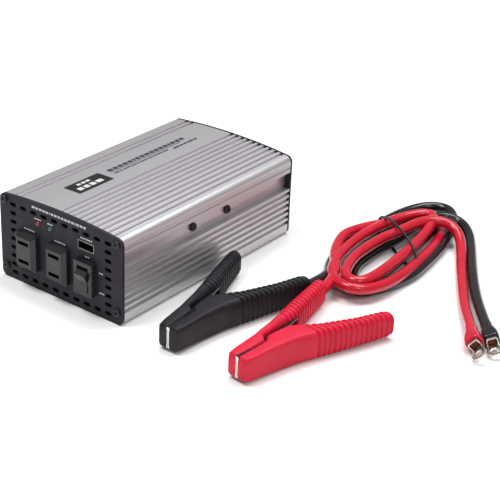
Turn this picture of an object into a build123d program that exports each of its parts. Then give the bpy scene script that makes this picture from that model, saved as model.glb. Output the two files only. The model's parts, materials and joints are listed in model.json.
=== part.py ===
from build123d import *
from math import hypot, pi, radians, sqrt, tan
import os

# A 500 W class DC-to-AC power inverter with its two battery leads.
# Millimetres, +Z up. The origin is the centre of the case's underside and the sockets face -Y.

# ---- case ------------------------------------------------------------------------------------
case_width = 102.0          # across X
case_height = 60.0          # at the crown of the domed top
case_depth = 168.0          # outer face to outer face of the two end panels
shoulder_drop = 2.9         # how far the dome falls from its crown to the sides
panel_thickness = 2.0
case_corner = 4.4
wall = 3.2
fit_clearance = 0.2         # round a fitting that stands in a panel's opening
pin_clearance = 0.05        # round a pin or shaft that turns

seam_drop = 10.4            # from the crown to the seam between the two shells
seam_groove = 0.7
seam_rib_width = 1.2
seam_rib_height = 1.0
seam_clearance = 0.1

flute_sink = 0.35           # a flute's centre lies this far under the surface
top_flute_radius = 1.35
top_flute_count = 10
top_flute_edge = 7.31       # from the right side to the last flute of the wide group
top_flute_pitch = 4.71
narrow_flute_edges = (12.6, 17.4)   # from the left side
side_flute_radius = 1.25
side_flute_count = 6
side_flute_low = 9.6
side_flute_pitch = 4.32

channel_width = 12.0        # recessed channel along each side
channel_depth = 4.2
channel_drop = 3.2          # from the seam to the channel

port_inset = 4.2            # screw ports in the four corners of the extrusion
port_low = 8.4
port_drop = 6.0
port_boss_radius = 3.5
port_hole_radius = 1.3
screw_radius = 1.25
screw_clearance_radius = 1.6
screw_head_radius = 2.7
screw_head_height = 1.7
screw_length = 11.0
cross_width = 0.7
cross_depth = 1.4

label_x = (-22.4, -8.2)
label_y = (-57.0, -26.4)
label_thickness = 0.12

# ---- board and what stands on it -------------------------------------------------------------
board_bottom = 12.4
board_thickness = 1.6
board_front_gap = 26.0      # from the case's front face to the board
board_back_gap = 18.0
board_side_gap = 0.5
rail_depth = 3.0
rail_thickness = 1.2
rail_gap = 0.2

bar_thickness = 3.0         # heat-sink bars
bar_length = 86.0
bar_height = 27.0
bar_drop = 2.6              # from the seam
bar_margin = 26.0           # from the bar's front end to its first screw
side_screw_y = (-15.0, 19.0)
side_screw_head_radius = 2.9
side_screw_head_height = 2.1
side_screw_length = 7.2
side_thread_radius = 1.5
thread_clearance = 0.05

transistor_rows = (-32.0, -14.0, 4.0, 22.0)
transistor_size = (4.5, 10.0, 15.5)
transistor_lift = 1.0       # above the bar's lower edge
lead_pitch = 2.54

transformer_x = (-15.0, 15.0)
transformer_y = 22.0
core_size = (26.0, 30.0, 26.0)
core_leg = 7.0
core_lift = 3.0
winding_gap = 0.3
winding_end = 3.0           # how far a winding stands above its core

large_capacitors = [(-17.0, -24.0), (9.0, -24.0)]
large_capacitor_size = (11.0, 30.0)     # radius, height
small_capacitors = [(x, 52.0) for x in (-27.0, -14.0, -1.0, 12.0)]
small_capacitor_size = (5.0, 20.0)
toroid_place = (28.0, -30.0)
toroid_size = (6.8, 2.6, 8.0)           # outer radius, inner radius, height

fuse_x = 27.0
fuse_y = (46.0, 52.0, 58.0)
fuse_size = (13.4, 3.6, 13.0)
fuse_socket_gap = 0.2
fuse_holder_wall = (2.0, 1.5)
fuse_holder_height = 8.0
fuse_holder_floor = 3.0

# ---- front panel fittings --------------------------------------------------------------------
vent_size = (5.4, 2.8)
vent_columns = 10
vent_rows = 9
vent_pitch_x = 8.79
vent_pitch_z = 5.88
vent_low = 4.95

outlet_x = (-26.0, 0.0)
outlet_z = 25.4
outlet_size = (17.0, 24.6)
outlet_corner = 1.2
outlet_wall_height = 3.3
outlet_chamfer = 2.4
outlet_flange = (0.8, 1.0)  # how far the boss stands past the body behind the panel
outlet_body_depth = 18.0
blade_slot = (9.0, 2.5)
blade_half_spacing = 6.35
blade_slot_depth = 4.0
contact_pocket = (10.4, 4.4)
contact_width = 8.0
contact_thickness = 0.5
contact_gap = 1.3
contact_tail = (3.0, 0.8, 6.0)

switch_x = 22.7
switch_z = 24.3
switch_size = (15.0, 22.7)
switch_proud = 4.5
switch_body = (13.2, 20.6)
switch_wall = 2.0
switch_body_depth = 17.0
rocker_gap = 0.3
rocker_tilt = 12.0
rocker_dish = 1.8           # how far the rocker's middle lies under its two crests
rocker_pivot_depth = 1.0    # from the panel's inner face to the pivot
rocker_pin_radius = 1.2
rocker_pin_reach = 1.4      # how far the pin runs into each side of the frame
tab_size = (4.8, 0.8, 7.0)
tab_pitch = 7.0

usb_x = 21.5
usb_z = 43.9
usb_outer = (13.2, 5.8)
usb_wall = 0.35
usb_depth = 14.0
tongue_size = (11.0, 1.8, 11.0)
tongue_rise = 0.3
tongue_foot = 2.5

led_x = (-18.0, -7.5)
led_z = 45.9
led_radius = 1.65
led_clearance = 0.1
led_dome = 1.5
led_flange_radius = 2.3
led_flange = 1.0
led_body = 4.0
led_leg_length = 8.0

socket_wire_radius = 1.0
input_wire_radius = 1.8
wire_gap = 0.1

# ---- rear panel fittings ---------------------------------------------------------------------
fan_x = -20.0
fan_z = 28.0
fan_size = 40.0
fan_depth = 10.0
fan_bore = 18.7
fan_hole_inset = 4.0
fan_corner = 3.0
fan_strut = 2.4
fan_back_depth = 2.0
fan_screw_length = 9.0
hub_radius = 8.5
hub_depth = 6.4
hub_inset = 0.8
blade_count = 7
blade_clearance = 0.7
blade_thickness = 1.1
blade_twist = 38.0
shaft_radius = 1.0
shaft_end_gap = 0.3
grille_pitch = 4.4
grille_slot = 2.6
grille_bar = 3.0

post_x = (11.5, 28.2)       # positive, negative
post_z = 22.0
insulator_radius = 8.0
insulator_height = 4.0
insulator_neck_radius = 5.0
insulator_neck = 2.0        # how far the neck stands inside the panel
neck_clearance = 0.1
stud_radius = 2.5
stud_out = 22.0             # how far the stud stands out of the rear panel
stud_in = 12.0
washer_radius = 6.0
washer_thickness = 1.2
stack_gap = 0.05            # between insulator, washer and knob
knob_radius = 7.4
knob_length = 9.0
knob_flutes = 14
knob_flute_radius = 0.9
nut_across_flats = 8.0
nut_height = 4.0

# ---- battery clamps --------------------------------------------------------------------------
# A clamp lies on its side. u runs from the jaw tip to the handles, w across, the front arm at w > 0.
clamp_length = 104.0
tip_half_height = 7.3
boot_half_height = 9.5
grip_half_height = 8.3
boot_wall = 2.4
boot_gap = 0.4              # between a boot and the steel inside it
arm_outer = [(104.0, 32.0), (78.0, 25.0), (58.0, 18.8), (40.0, 12.8), (23.0, 9.6), (5.0, 8.0), (0.0, 6.6)]
front_inner = [(0.0, 1.2), (24.6, 1.2), (27.5, -3.4), (45.0, -3.4), (60.0, 6.5), (83.0, 16.0), (104.0, 22.4)]
back_inner = [(0.0, 1.2), (24.6, 1.2), (26.0, 5.2), (38.0, 6.4), (45.0, 7.6), (60.0, 8.2), (83.0, 16.0),
              (104.0, 22.4)]
grip_start = 62.0
grip_bore_start = (56.0, 14.6)      # u and w of the cable's bore in the fixed handle
grip_bore_end = (105.0, 27.4)
jaw_plate = (24.0, 0.9, 14.0)
jaw_plate_gap = 0.15
jaw_teeth = 7
jaw_tooth_pitch = 3.0
cheek_thickness = 0.9
cheek_clearance = 0.12
fixed_cheek_inner = 5.2     # from the clamp's mid plane
cheek_gap = 0.2             # between the fixed and the moving cheek
pivot_u = 38.0
pivot_boss_radius = 5.4
clamp_pin_radius = 1.8
spring_gap = 0.3            # between the pin and the spring
spring_wire = 0.75
spring_height = 5.4
spring_leg = (2.6, 14.0)

# ---- leads -----------------------------------------------------------------------------------
cable_diameter = 7.0
lug_plate = 1.2
lug_bore_clearance = 0.15
lug_ring_radius = 5.0
lug_ring_place = 6.0        # from the barrel's mouth to the bore's centre
lug_barrel = (7.2, 6.2)
lug_barrel_start = 9.0
lug_length = 20.0           # from the cable's end to the barrel's mouth
lug_wall = 0.8
sleeve_wall = 0.45
sleeve_end = 16.0
tie_radius = 0.9

# Places of the two clamps on the floor, with their turn, and how the two hanks lie.
clamp_mid_z = 9.5
black_place = Pos(89.7, -88.0, clamp_mid_z) * Rot(0, 0, 1.7)
red_place = Pos(139.5, -87.0, clamp_mid_z) * Rot(0, 0, -6.0)
coil_tilt = 6.0
coil_gap = 0.2
coil_clearance = 0.2
coil_settle = 3.0           # how far the upper turns sink between one another
black_lug_turn = (-50.0, 18.0)      # heading in plan, roll about the lug's own line
red_lug_turn = (-53.0, 45.0)

# Each route is a list of points chosen along the cable's middle line.
black_clamp_route = [(113.6, 16.7, 9.5), (114.6, 31.0, 8.8), (110.4, 45.0, 5.8), (103.0, 57.0, 3.9)]
red_clamp_route = [(123.6, 19.1, 9.5), (122.0, 32.0, 9.8)]
black_free_route = [(134.0, 167.5, 6.8), (147.8, 160.3, 5.2), (159.4, 144.5, 3.6), (171.8, 122.8, 3.6),
                    (187.0, 98.6, 3.6), (203.0, 76.0, 3.9), (220.2, 54.6, 5.8)]
red_free_route = [(133.0, 152.0, 12.8), (145.5, 147.5, 11.6), (157.0, 134.3, 7.4), (169.3, 112.8, 3.6),
                  (182.6, 91.6, 3.6), (195.3, 71.6, 3.6), (206.1, 56.8, 4.8), (215.9, 43.1, 7.2)]
tie_route = [(81.5, 136.5, 1.0), (81.5, 136.5, 19.0), (88.0, 131.0, 24.2), (121.0, 105.0, 22.6),
             (154.0, 78.5, 22.2), (160.0, 73.5, 15.0), (160.0, 73.5, 1.0)]

# ---- places that follow ----------------------------------------------------------------------
front_face = -case_depth / 2
rear_face = case_depth / 2
front_inside = front_face + panel_thickness
rear_inside = rear_face - panel_thickness
half_width = case_width / 2
shoulder_height = case_height - shoulder_drop
dome_radius = (half_width**2 + shoulder_drop**2) / (2 * shoulder_drop)
seam_height = case_height - seam_drop
channel_high = seam_height - channel_drop
channel_low = channel_high - channel_width
channel_floor_x = half_width - channel_depth
channel_wall_x = channel_floor_x - wall
port_x = half_width - port_inset
port_heights = (port_low, case_height - port_drop)
side_screw_z = (channel_low + channel_high) / 2
board_top = board_bottom + board_thickness
board_front = front_face + board_front_gap
board_back = rear_face - board_back_gap
bar_high = seam_height - bar_drop
bar_low = bar_high - bar_height
transistor_low = bar_low + transistor_lift
outlet_body = tuple(size - 2 * flange for size, flange in zip(outlet_size, outlet_flange))
contact_back = front_face + outlet_body_depth - 3.0
switch_opening = tuple(size - 2 * switch_wall for size in switch_body)
switch_back = front_face + switch_body_depth
pivot_y = front_inside + rocker_pivot_depth
fan_back = rear_inside
fan_front = fan_back - fan_depth
blade_tip_radius = fan_bore - blade_clearance
washer_y = rear_face + insulator_height + stack_gap
knob_y = washer_y + washer_thickness + stack_gap
fixed_cheek = (fixed_cheek_inner, fixed_cheek_inner + cheek_thickness)
moving_cheek = (fixed_cheek_inner - cheek_gap - cheek_thickness, fixed_cheek_inner - cheek_gap)
spring_inner = clamp_pin_radius + spring_gap
cable_radius = cable_diameter / 2
lug_bore_radius = stud_radius + lug_bore_clearance
sleeve_radii = (cable_radius + 0.4, hypot(*lug_barrel) / 2 + sleeve_wall)
coil_low_top = cable_diameter + coil_clearance
coil_high_bottom = coil_low_top + coil_gap
coil_high_top = coil_high_bottom + 2 * cable_diameter + coil_clearance - coil_settle
black_coil = ((119.6, 110.5), (148.0, 64.0), (92.0, 9.0), (0.0, coil_low_top))
red_coil = ((119.0, 97.0), (140.0, 64.0), (88.0, 14.0), (coil_high_bottom, coil_high_top))


def block(x, y, z):
    """A box given by its low and high value along each axis."""
    size = [high - low for low, high in (x, y, z)]
    centre = [(high + low) / 2 for low, high in (x, y, z)]
    return Pos(*centre) * Box(*size)


def rect(x, z):
    """A rectangle in the (x, z) outline plane, given by its low and high values."""
    return Pos((x[0] + x[1]) / 2, (z[0] + z[1]) / 2) * Rectangle(x[1] - x[0], z[1] - z[0])


def along_y(sketch, start, end):
    """Extrude an (x, z) outline from y = start to y = end."""
    plane = Plane(origin=(0, end, 0), x_dir=(1, 0, 0), z_dir=(0, -1, 0))
    return extrude(plane * sketch, amount=end - start)


def rod(radius, start, end):
    """A round bar between two points."""
    start, end = Vector(*start), Vector(*end)
    plane = Plane(origin=start, z_dir=end - start)
    return extrude(plane * Circle(radius), amount=(end - start).length)


def both_sides(shape):
    """The shape and its mirror image across the middle of the case."""
    return shape + mirror(shape, about=Plane.YZ)


def save(node, *solids):
    """Write one node, as one or more separate solids."""
    shapes = [solid for shape in solids for solid in shape.solids()]
    export_step(Compound(children=shapes) if len(shapes) > 1 else shapes[0], f"parts/{node}.step")


# ---- case ------------------------------------------------------------------------------------
def case_outline(inset=0.0):
    """The domed end outline of the case, inset by a wall where asked."""
    half = half_width - inset
    shoulder = shoulder_height - inset
    corners = [(half, shoulder), (-half, shoulder), (-half, inset), (half, inset)]
    dome = ThreePointArc(corners[0], (0, case_height - inset), corners[1])
    face = make_face([dome, Polyline(corners[1], corners[2], corners[3], corners[0])])
    return fillet(face.vertices(), max(case_corner - inset, 0.8))


def dome_height(x):
    """Height of the domed top at x."""
    return case_height - dome_radius + sqrt(dome_radius**2 - x**2)


def screw_ports():
    """The bosses and the holes for the panel screws, in outline."""
    places = [(side * port_x, height) for side in (-1, 1) for height in port_heights]
    boss = [Pos(*place) * Circle(port_boss_radius) for place in places]
    hole = [Pos(*place) * Circle(port_hole_radius) for place in places]
    return Sketch() + boss, Sketch() + hole


def seam_notch():
    """The V-groove that marks the seam on both sides."""
    notch = Rot(0, 0, 45) * Rectangle(seam_groove * sqrt(2), seam_groove * sqrt(2))
    return [Pos(side * half_width, seam_height) * notch for side in (-1, 1)]


def make_case_top():
    """Top shell: the domed, fluted half of the extrusion above the seam."""
    bosses, holes = screw_ports()
    above = rect((-half_width, half_width), (seam_height, case_height + 1))
    section = (case_outline() - case_outline(wall) + (bosses & case_outline())) & above
    flute_x = [half_width - top_flute_edge - top_flute_pitch * k for k in range(top_flute_count)]
    flute_x += [edge - half_width for edge in narrow_flute_edges]
    for x in flute_x:
        section -= Pos(x, dome_height(x) - flute_sink) * Circle(top_flute_radius)
    groove_width = seam_rib_width + 2 * seam_clearance
    groove_height = seam_rib_height + seam_clearance
    for side in (-1, 1):
        middle = side * (half_width - wall / 2)
        section -= rect(
            (middle - groove_width / 2, middle + groove_width / 2),
            (seam_height, seam_height + groove_height),
        )
    section = section - holes - seam_notch()
    return along_y(section, front_inside, rear_inside)


def make_case_base():
    """Base shell: floor and sides with the flutes, side channels, board rails and seam ribs."""
    bosses, holes = screw_ports()
    below = rect((-half_width, half_width), (-1, seam_height))
    section = (case_outline() - case_outline(wall) + (bosses & case_outline())) & below
    for side in (-1, 1):
        inner = sorted((side * channel_wall_x, side * (half_width - 0.1)))
        section += rect(inner, (channel_low - wall, seam_height))
        rail = sorted((side * (half_width - wall - rail_depth), side * (half_width - 0.5 * wall)))
        section += rect(rail, (board_bottom - rail_thickness - rail_gap, board_bottom - rail_gap))
        section += rect(rail, (board_top + rail_gap, board_top + rail_gap + rail_thickness))
        channel = sorted((side * channel_floor_x, side * (half_width + 1)))
        section -= rect(channel, (channel_low, channel_high))
        for row in range(side_flute_count):
            height = side_flute_low + side_flute_pitch * row
            section -= Pos(side * (half_width - flute_sink), height) * Circle(side_flute_radius)
        rib = side * (half_width - wall / 2)
        section += rect(
            (rib - seam_rib_width / 2, rib + seam_rib_width / 2),
            (seam_height - 1, seam_height + seam_rib_height),
        )
    section = section - holes - seam_notch()
    shell = along_y(section, front_inside, rear_inside)
    for y in side_screw_y:
        ends = [(side * half_width, y, side_screw_z) for side in (-1, 1)]
        shell -= rod(screw_clearance_radius, *ends)
    return shell


def panel_blank(start, end):
    """A plain end panel with its four screw holes."""
    face = case_outline()
    for side in (-1, 1):
        for height in port_heights:
            face -= Pos(side * port_x, height) * Circle(screw_clearance_radius)
    return along_y(face, start, end)


def vent_places():
    """Centres of the vent holes, a border of a grid of columns and rows."""
    places = []
    for column in range(vent_columns):
        for row in range(vent_rows):
            edge = column in (0, vent_columns - 1) or row in (0, vent_rows - 1)
            if edge:
                x = (column - (vent_columns - 1) / 2) * vent_pitch_x
                places.append((x, vent_low + row * vent_pitch_z))
    return places


def make_front_panel():
    """Front panel with vents and the openings for sockets, switch, lamps and USB."""
    cuts = [Pos(*place) * SlotOverall(*vent_size) for place in vent_places()]
    grow = 2 * fit_clearance
    for x in outlet_x:
        cuts.append(Pos(x, outlet_z) * Rectangle(outlet_body[0] + grow, outlet_body[1] + grow))
    cuts.append(Pos(switch_x, switch_z) * Rectangle(switch_body[0] + grow, switch_body[1] + grow))
    cuts.append(Pos(usb_x, usb_z) * Rectangle(usb_outer[0] + grow, usb_outer[1] + grow))
    cuts += [Pos(x, led_z) * Circle(led_radius + led_clearance) for x in led_x]
    return panel_blank(front_face, front_inside) - along_y(Sketch() + cuts, front_face, front_inside)


def grille_rows():
    """Half lengths of the grille's slots, by height above the fan's centre."""
    count = int(blade_tip_radius // grille_pitch)
    heights = [k * grille_pitch for k in range(-count, count + 1)]
    rows = [(height, sqrt(blade_tip_radius**2 - height**2)) for height in heights]
    return [(height, half) for height, half in rows if half > grille_bar + grille_slot]


def make_rear_panel():
    """Rear panel with the fan's grille, its screw holes and the two terminal openings."""
    cuts = []
    for height, half in grille_rows():
        length = half - grille_bar / 2
        for side in (-1, 1):
            middle = fan_x + side * (grille_bar / 2 + length / 2)
            cuts.append(Pos(middle, fan_z + height) * SlotOverall(length, grille_slot))
    cuts += [Pos(*place) * Circle(screw_clearance_radius) for place in fan_corner_places()]
    cuts += [Pos(x, post_z) * Circle(insulator_neck_radius + neck_clearance) for x in post_x]
    return panel_blank(rear_inside, rear_face) - along_y(Sketch() + cuts, rear_inside, rear_face)


def pan_screw(place, direction, shank_radius, length, head_radius, head_height):
    """A pan-head screw whose head sits on place and whose shank runs along direction."""
    plane = Plane(origin=place, z_dir=direction)
    head = Cylinder(head_radius, head_height, align=(Align.CENTER, Align.CENTER, Align.MAX))
    head = fillet(head.faces().sort_by(Axis.Z)[0].edges(), head_height * 0.6)
    span = head_radius * 1.1
    cross = Box(span, cross_width, cross_depth) + Box(cross_width, span, cross_depth)
    cross = Pos(0, 0, -head_height) * cross
    shank = Cylinder(shank_radius, length, align=(Align.CENTER, Align.CENTER, Align.MIN))
    return plane * (head - cross + shank)


def make_panel_screws():
    """Eight identical screws, four at each end of the case."""
    screws = []
    for face, direction in ((front_face, (0, 1, 0)), (rear_face, (0, -1, 0))):
        for side in (-1, 1):
            for height in port_heights:
                place = (side * port_x, face, height)
                screws.append(pan_screw(place, direction, screw_radius, screw_length,
                                        screw_head_radius, screw_head_height))
    return screws


def make_side_screws():
    """Four screws that clamp the heat-sink bars from the side channels."""
    screws = []
    for side in (-1, 1):
        for y in side_screw_y:
            place = (side * channel_floor_x, y, side_screw_z)
            screws.append(pan_screw(place, (-side, 0, 0), side_thread_radius - thread_clearance,
                                    side_screw_length, side_screw_head_radius, side_screw_head_height))
    return screws


def make_rating_label():
    """A thin printed label that follows the dome."""
    skin = Circle(dome_radius + label_thickness) - Circle(dome_radius)
    skin = Pos(0, case_height - dome_radius) * skin
    return along_y(skin & rect(label_x, (case_height - 5, case_height + 5)), *label_y)


# ---- front fittings --------------------------------------------------------------------------
def make_outlet(x):
    """A socket housing: chamfered boss outside, body with two contact pockets inside."""
    width, height = outlet_size
    place = Pos(x, outlet_z)
    shoulder = front_face - outlet_wall_height
    back = front_face + outlet_body_depth
    foot = RectangleRounded(width, height, outlet_corner)
    tip = RectangleRounded(width - 2 * outlet_chamfer, height - 2 * outlet_chamfer, outlet_corner / 2)
    plane = Plane(origin=(x, shoulder, outlet_z), x_dir=(1, 0, 0), z_dir=(0, -1, 0))
    housing = along_y(place * foot, shoulder, front_face)
    housing += loft([plane * foot, plane.offset(outlet_chamfer) * tip])
    housing += along_y(place * Rectangle(*outlet_body), front_face - 0.01, back)
    for side in (-1, 1):
        place = Pos(x, outlet_z + side * blade_half_spacing)
        housing -= along_y(place * Rectangle(*blade_slot), shoulder - outlet_chamfer - 1,
                           front_face + blade_slot_depth)
        housing -= along_y(place * Rectangle(*contact_pocket), front_face + blade_slot_depth - 1, back + 1)
    return housing


def make_outlet_contacts():
    """Four U-shaped brass clips, one behind each blade slot."""
    clips = []
    for x in outlet_x:
        for side in (-1, 1):
            z = outlet_z + side * blade_half_spacing
            half_width_x = contact_width / 2
            half_outer = contact_gap / 2 + contact_thickness
            low = front_face + blade_slot_depth - 0.6
            clip = block((x - half_width_x, x + half_width_x), (low, contact_back),
                         (z - half_outer, z + half_outer))
            clip -= block((x - contact_width, x + contact_width), (low - 1, contact_back - contact_thickness),
                          (z - contact_gap / 2, z + contact_gap / 2))
            width, thickness, length = contact_tail
            clip += block((x - width / 2, x + width / 2), (contact_back - 0.1, contact_back + length),
                          (z - thickness / 2, z + thickness / 2))
            clips.append(clip)
    return clips


def make_usb_shell():
    """Folded metal shell of the USB socket, open at the front."""
    outer = RectangleRounded(*usb_outer, 0.6)
    inner = RectangleRounded(usb_outer[0] - 2 * usb_wall, usb_outer[1] - 2 * usb_wall, 0.4)
    low, high = front_face + 0.2, front_face + usb_depth
    tube = along_y(Pos(usb_x, usb_z) * (outer - inner), low, high - usb_wall)
    return tube + along_y(Pos(usb_x, usb_z) * outer, high - usb_wall, high)


def make_usb_tongue():
    """Plastic tongue with its foot, held by the shell's back wall."""
    width, thickness, length = tongue_size
    back = front_face + usb_depth - usb_wall
    tongue = block((usb_x - width / 2, usb_x + width / 2), (back - length, back),
                   (usb_z + tongue_rise, usb_z + tongue_rise + thickness))
    half_w, half_h = [size / 2 - usb_wall - 0.1 for size in usb_outer]
    foot = block((usb_x - half_w, usb_x + half_w), (back - tongue_foot, back),
                 (usb_z - half_h, usb_z + half_h))
    return tongue + foot


def make_led(x):
    """A domed indicator lamp with its flange and two legs behind the panel."""
    nose = front_face - led_dome + led_radius
    lamp = rod(led_radius, (x, nose, led_z), (x, front_inside + led_body, led_z))
    lamp += Pos(x, nose, led_z) * Sphere(led_radius)
    lamp += rod(led_flange_radius, (x, front_inside, led_z), (x, front_inside + led_flange, led_z))
    for side in (-1, 1):
        leg = (x + side * 0.7, front_inside + led_body - 0.5, led_z)
        lamp += rod(0.25, leg, (leg[0], front_inside + led_body + led_leg_length, led_z))
    return lamp


def make_switch_frame():
    """Switch bezel and body, open at the front, with the rocker's pivot holes."""
    place = Pos(switch_x, switch_z)
    proud = front_face - switch_proud
    bezel = along_y(place * RectangleRounded(*switch_size, 1.0), proud, front_face)
    bezel = fillet(bezel.faces().sort_by(Axis.Y)[0].edges(), 0.6)
    frame = bezel + along_y(place * Rectangle(*switch_body), front_face - 0.01, switch_back)
    frame -= along_y(place * Rectangle(*switch_opening), proud - 1, switch_back - 3)
    reach = switch_opening[0] / 2 + rocker_pin_reach + 0.2
    return frame - rod(rocker_pin_radius + pin_clearance, (switch_x - reach, pivot_y, switch_z),
                       (switch_x + reach, pivot_y, switch_z))


def make_rocker():
    """The rocker in its off position, lower end pressed in."""
    out = pivot_y - front_face + switch_proud      # from the pivot to the bezel's face
    half = switch_opening[1] / 2 - rocker_gap
    crest = half - 2.0
    high = out + 2.2
    face = Polyline((-crest, high), (0, high - rocker_dish), (crest, high), (half - 0.1, 1.8), (3.2, -3.2),
                    (-3.2, -3.2), (-half + 0.1, 1.8), close=True)
    plane = Plane(origin=(switch_x, pivot_y, switch_z), x_dir=(0, 0, 1), z_dir=(1, 0, 0))
    width = switch_opening[0] - 2 * rocker_gap
    paddle = extrude(plane * make_face(face), amount=width / 2, both=True)
    reach = switch_opening[0] / 2 + rocker_pin_reach
    paddle += rod(rocker_pin_radius, (switch_x - reach, pivot_y, switch_z),
                  (switch_x + reach, pivot_y, switch_z))
    axis = Axis((switch_x, pivot_y, switch_z), (1, 0, 0))
    return paddle.rotate(axis, rocker_tilt)


def make_switch_terminals():
    """Three blade tabs on the back of the switch."""
    width, thickness, length = tab_size
    tabs = []
    for step in (-tab_pitch, 0, tab_pitch):
        z = switch_z + step
        tabs.append(block((switch_x - width / 2, switch_x + width / 2), (switch_back, switch_back + length),
                          (z - thickness / 2, z + thickness / 2)))
    return tabs


# ---- inside ----------------------------------------------------------------------------------
def make_circuit_board():
    """Main board, held in the rails of the base shell."""
    half = half_width - wall - board_side_gap
    return block((-half, half), (board_front, board_back), (board_bottom, board_top))


def make_heat_sink_bars():
    """Two aluminium bars clamped to the inside of the side channels."""
    start = side_screw_y[0] - bar_margin
    bar = block((channel_wall_x - bar_thickness, channel_wall_x), (start, start + bar_length),
                (bar_low, bar_high))
    for y in side_screw_y:
        bar -= rod(side_thread_radius, (channel_wall_x + 1, y, side_screw_z),
                   (channel_wall_x - bar_thickness - 1, y, side_screw_z))
    return both_sides(bar)


def make_power_transistors():
    """Eight packages standing on the board with their backs on the bars."""
    depth, width, height = transistor_size
    back = channel_wall_x - bar_thickness
    packages = []
    for y in transistor_rows:
        body = block((back - depth, back), (y - width / 2, y + width / 2),
                     (transistor_low, transistor_low + height))
        for step in (-lead_pitch, 0, lead_pitch):
            body += block((back - 3.2, back - 2.4), (y + step - 0.4, y + step + 0.4),
                          (board_top, transistor_low + 1))
        packages.append(both_sides(body))
    return packages


def make_transformer_cores():
    """Two ferrite cores, each a frame with a middle leg that the winding surrounds."""
    width, depth, height = core_size
    low = board_top + core_lift
    cores = []
    for x in transformer_x:
        core = block((x - width / 2, x + width / 2), (transformer_y - depth / 2, transformer_y + depth / 2),
                     (low, low + height))
        window_y = transformer_y - depth / 2 + core_leg, transformer_y + depth / 2 - core_leg
        for side in (-1, 1):
            window_x = sorted((x + side * core_leg / 2, x + side * (width - core_leg) / 2))
            core -= block(window_x, window_y, (low - 1, low + height + 1))
        cores.append(core)
    return cores


def make_transformer_windings():
    """Copper winding around each core's middle leg, standing on the board."""
    width, depth, height = core_size
    low = board_top + core_lift
    half_y = depth / 2 - core_leg - winding_gap
    inner = core_leg / 2 + winding_gap
    outer = (width - core_leg) / 2 - winding_gap
    windings = []
    for x in transformer_x:
        coil = block((x - outer, x + outer), (transformer_y - half_y, transformer_y + half_y),
                     (board_top, low + height + winding_end))
        coil -= block((x - inner, x + inner), (transformer_y - half_y - 1, transformer_y + half_y + 1),
                      (low - winding_gap, low + height + winding_gap))
        windings.append(coil)
    return windings


def make_capacitors():
    """Two large smoothing capacitors and four input capacitors."""
    cans = [(place, large_capacitor_size) for place in large_capacitors]
    cans += [(place, small_capacitor_size) for place in small_capacitors]
    solids = []
    for place, (radius, height) in cans:
        can = rod(radius, (*place, board_top), (*place, board_top + height))
        solids.append(fillet(can.faces().sort_by(Axis.Z)[-1].edges(), 0.8))
    return solids


def make_filter_toroid():
    """Wound ring inductor lying on the board."""
    outer, inner, height = toroid_size
    ring = rod(outer, (*toroid_place, board_top), (*toroid_place, board_top + height))
    ring -= rod(inner, (*toroid_place, board_top - 1), (*toroid_place, board_top + height + 1))
    return fillet(ring.edges().filter_by(GeomType.CIRCLE), 1.6)


def fuse_room(y, grow_x, grow_y, low, high):
    """The block that one fuse fills, grown on each side where asked."""
    half_x, half_y = fuse_size[0] / 2 + grow_x, fuse_size[1] / 2 + grow_y
    return block((fuse_x - half_x, fuse_x + half_x), (y - half_y, y + half_y), (low, high))


def make_fuse_holder():
    """Holder block with a slot for each blade fuse."""
    half_x = fuse_size[0] / 2 + fuse_socket_gap + fuse_holder_wall[0]
    reach_y = fuse_size[1] / 2 + fuse_socket_gap + fuse_holder_wall[1]
    holder = block((fuse_x - half_x, fuse_x + half_x), (fuse_y[0] - reach_y, fuse_y[-1] + reach_y),
                   (board_top, board_top + fuse_holder_height))
    for y in fuse_y:
        holder -= fuse_room(y, fuse_socket_gap, fuse_socket_gap, board_top + fuse_holder_floor,
                            board_top + fuse_holder_height + 1)
    return holder


def make_blade_fuses():
    """Three blade fuses standing in the holder."""
    low = board_top + fuse_holder_floor
    return [fuse_room(y, 0, 0, low, low + fuse_size[2]) for y in fuse_y]


# ---- fan -------------------------------------------------------------------------------------
def fan_corner_places():
    """Centres of the fan's four screw holes."""
    offset = fan_size / 2 - fan_hole_inset
    return [(fan_x + dx, fan_z + dz) for dx in (-offset, offset) for dz in (-offset, offset)]


def make_fan_frame():
    """Fan housing with a bearing boss carried on four struts at the back."""
    ring = Pos(fan_x, fan_z) * (RectangleRounded(fan_size, fan_size, fan_corner) - Circle(fan_bore))
    for place in fan_corner_places():
        ring -= Pos(*place) * Circle(side_thread_radius)
    frame = along_y(ring, fan_front, fan_back)
    spider = Circle(hub_radius) + [Rot(0, 0, 45 * k) * Rectangle(2 * fan_bore + 2, fan_strut) for k in (0, 2)]
    frame += along_y(Pos(fan_x, fan_z) * spider, fan_back - fan_back_depth, fan_back)
    return frame - rod(shaft_radius + pin_clearance, (fan_x, fan_back - fan_back_depth - 1, fan_z),
                       (fan_x, fan_back + 1, fan_z))


def make_fan_rotor():
    """Hub, shaft and twisted blades."""
    low = fan_front + hub_inset
    high = low + hub_depth
    rotor = rod(hub_radius, (fan_x, low, fan_z), (fan_x, high, fan_z))
    rotor += rod(shaft_radius, (fan_x, high - 1, fan_z), (fan_x, fan_back - shaft_end_gap, fan_z))
    span = blade_tip_radius - hub_radius + 1
    for k in range(blade_count):
        blade = Rot(blade_twist, 0, 0) * Box(span, hub_depth + 2.6, blade_thickness)
        blade = Pos(hub_radius - 1 + span / 2, 0, 0) * blade
        blade &= Cylinder(blade_tip_radius, 2 * fan_depth, rotation=(90, 0, 0))
        blade &= block((0, fan_size), (-hub_depth / 2, hub_depth / 2), (-fan_size, fan_size))
        rotor += Pos(fan_x, (low + high) / 2, fan_z) * Rot(0, 360 / blade_count * k, 0) * blade
    return rotor


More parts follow.
